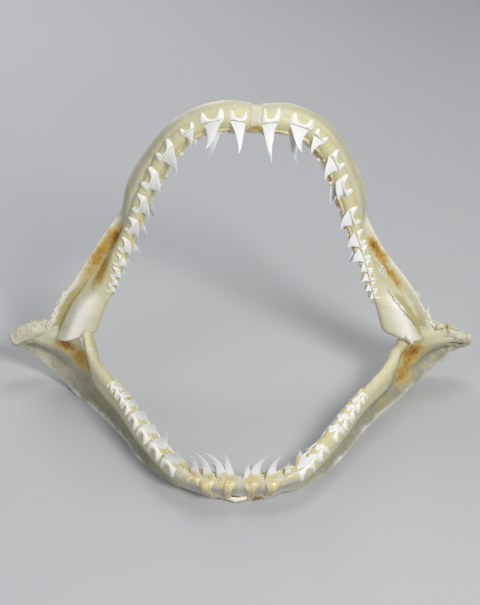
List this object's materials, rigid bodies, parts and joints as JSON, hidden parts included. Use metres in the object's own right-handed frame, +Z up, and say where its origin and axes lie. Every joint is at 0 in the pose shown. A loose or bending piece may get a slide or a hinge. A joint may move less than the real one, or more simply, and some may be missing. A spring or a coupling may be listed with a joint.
{
  "type": "dried mako shark jaw",
  "caption": "Dried pair of mako shark jaws, spread wide open, with slender curved teeth, resting on the lower jaw.",
  "frame": {"origin": "under the middle of the whole, on the surface that the lower jaw rests on", "axes": "+X across the jaws to the right of someone who looks into the mouth, +Y from the front of the lower jaw towards the throat, +Z up"},
  "size_m": [0.4028, 0.1958, 0.2668],
  "materials": {
    "cartilage": "dried cartilage, smooth and cream, satin",
    "tissue": "dried ligament and gum, tan, fibrous",
    "enamel": "tooth enamel, glossy white"
  },
  "bodies": {
    "root": {"upper_jaw_left": "cartilage", "upper_jaw_right": "cartilage", "lower_jaw_left": "cartilage", "lower_jaw_right": "cartilage", "upper_symphysis": "cartilage", "lower_symphysis": "cartilage", "joint_tissue_left": "tissue", "joint_tissue_right": "tissue"}
  },
  "joints": []
}
